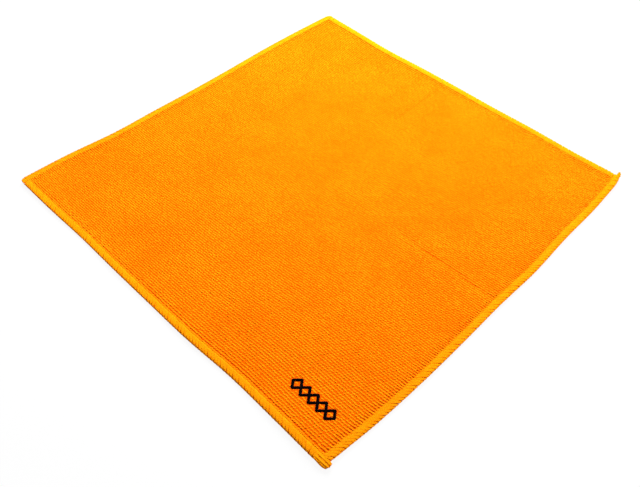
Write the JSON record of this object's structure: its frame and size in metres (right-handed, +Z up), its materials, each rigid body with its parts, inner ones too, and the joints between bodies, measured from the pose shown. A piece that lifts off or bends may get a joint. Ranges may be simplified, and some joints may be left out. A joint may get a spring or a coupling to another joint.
{
  "type": "leather care cloth",
  "caption": "Square looped terry cloth for leather care, with an overlocked edge on all sides and a small black embroidered mark near one corner, lying flat.",
  "frame": {"origin": "on the surface that the cloth lies on, below the middle of its bounding box", "axes": "+Z up out of the top face; +X along the near right side and +Y along the near left side, both away from the corner with the embroidered mark"},
  "size_m": [0.4088, 0.4048, 0.0054],
  "materials": {
    "terry": "soft matt looped microfibre pile",
    "overlock_thread": "woolly textured polyester thread",
    "embroidery_thread": "satin polyester thread"
  },
  "bodies": {
    "root": {"terry_panel": "terry", "near_left_upper_looper_thread": "overlock_thread", "near_left_lower_looper_thread": "overlock_thread", "near_left_needle_thread": "overlock_thread", "far_right_upper_looper_thread": "overlock_thread", "far_right_lower_looper_thread": "overlock_thread", "far_right_needle_thread": "overlock_thread", "near_right_upper_looper_thread": "overlock_thread", "near_right_lower_looper_thread": "overlock_thread", "near_right_needle_thread": "overlock_thread", "far_left_upper_looper_thread": "overlock_thread", "far_left_lower_looper_thread": "overlock_thread", "far_left_needle_thread": "overlock_thread", "thread_tail_near": "overlock_thread", "thread_tail_right": "overlock_thread", "embroidered_mark": "embroidery_thread", "embroidered_mark_bobbin": "embroidery_thread"}
  },
  "joints": []
}
